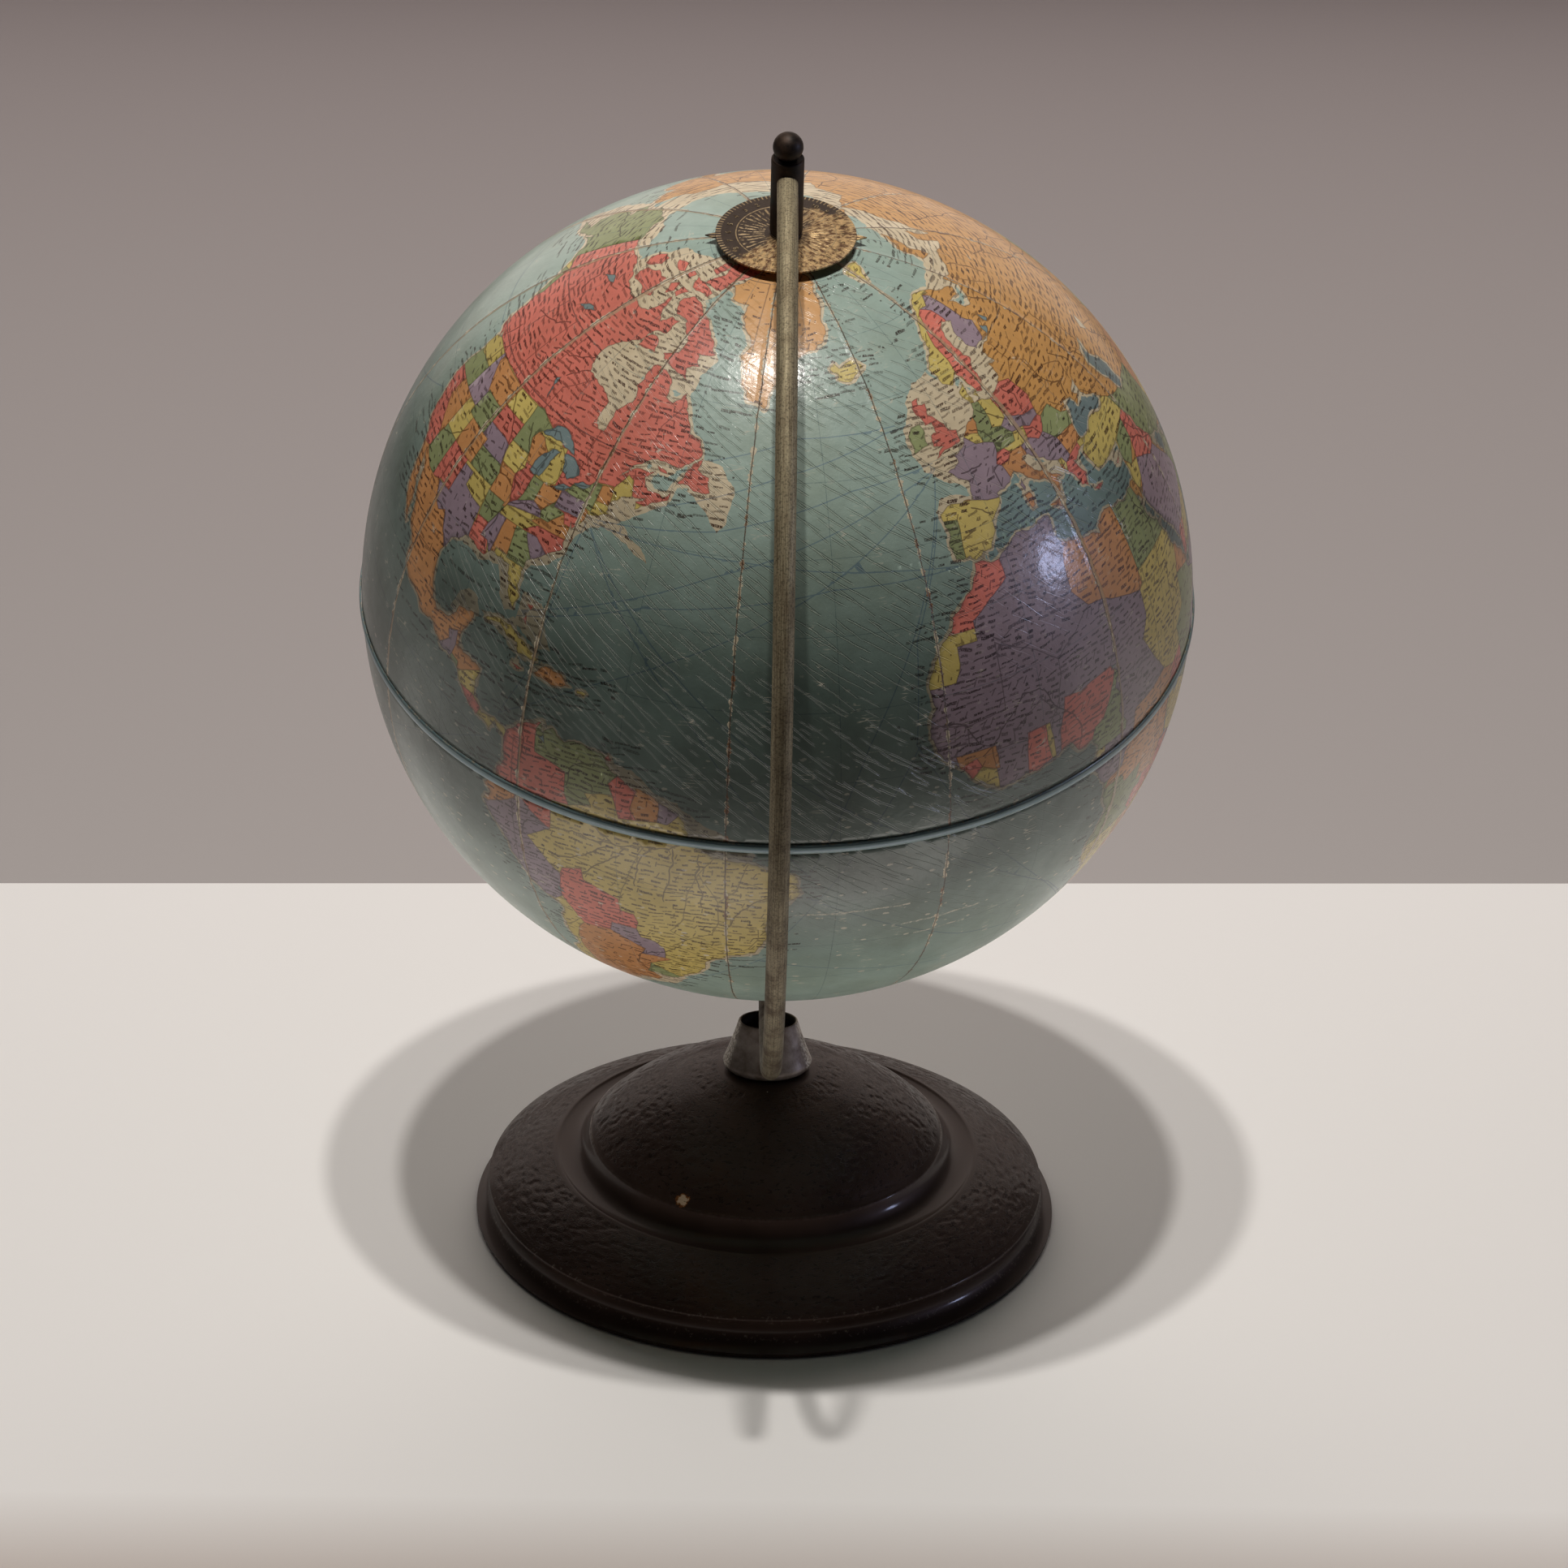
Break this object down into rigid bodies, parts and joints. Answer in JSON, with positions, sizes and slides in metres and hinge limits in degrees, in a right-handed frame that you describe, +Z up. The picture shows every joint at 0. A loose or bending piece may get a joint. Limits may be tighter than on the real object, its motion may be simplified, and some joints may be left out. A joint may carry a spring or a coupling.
{
  "type": "desktop globe on stand",
  "caption": "Desk terrestrial globe turning on a tilted axis between the ends of a half-circle rod arm, with an hour dial at the north pole, on a round domed pressed metal stand.",
  "frame": {"origin": "centre of the stand's foot, on the surface that it stands on", "axes": "+Z up, through the centre of the stand, the ferrule and the globe; the arm and the globe's axis lie in the plane x = 0, the arm's arc bulges towards -Y and the north end of the axis leans towards -Y; +X is to the right, seen from the arm's side"},
  "size_m": [0.307, 0.3337, 0.4548],
  "materials": {
    "dark_enamel": "dark brown crackle-pressed enamel, satin, worn bright on the edges",
    "grey_board": "raw grey fibreboard",
    "green_felt": "dark green wool felt",
    "aged_zinc": "dull, aged, worn lighter on the edges",
    "spring_steel": "plain oiled steel",
    "aged_bronze": "bronze-plated steel rod, lengthwise brushed, brown tarnish",
    "blackened_steel": "oxidised almost black",
    "etched_brass": "brown, with worn engraved hour marks",
    "turned_brass": "turned",
    "map_paper": "printed paper gores on pressed paperboard, varnished",
    "tape_paper": "printed paper tape, varnished",
    "pine_wood": "raw"
  },
  "bodies": {
    "stand": {"base_shell": "dark_enamel", "base_cover_board": "grey_board", "felt_pad": "green_felt", "ferrule": "aged_zinc", "clamp_screw": "spring_steel", "spreader_plate": "spring_steel", "screw_washer": "spring_steel", "lock_washer": "spring_steel", "meridian_arm": "aged_bronze", "north_hub": "blackened_steel", "south_hub": "blackened_steel", "north_pivot_pin": "blackened_steel", "south_pivot_pin": "blackened_steel", "hour_pointer": "etched_brass", "dial_spring_washer": "spring_steel", "south_thrust_washer": "turned_brass"},
    "globe": {"north_hemisphere": "map_paper", "south_hemisphere": "map_paper", "equator_tape": "tape_paper", "joining_ring": "grey_board", "north_pole_bush": "turned_brass", "south_pole_bush": "turned_brass", "north_pole_block": "pine_wood", "south_pole_block": "pine_wood"},
    "dial": {"hour_dial": "etched_brass"}
  },
  "joints": [
    {"name": "globe_spin", "type": "hinge", "parent": "stand", "child": "globe", "pos_m": [0, 0, 0.264], "axis": [0, -0.213, 0.977], "continuous": true},
    {"name": "dial_turn", "type": "hinge", "parent": "stand", "child": "dial", "pos_m": [0, 0, 0.264], "axis": [0, -0.213, 0.977], "continuous": true}
  ]
}
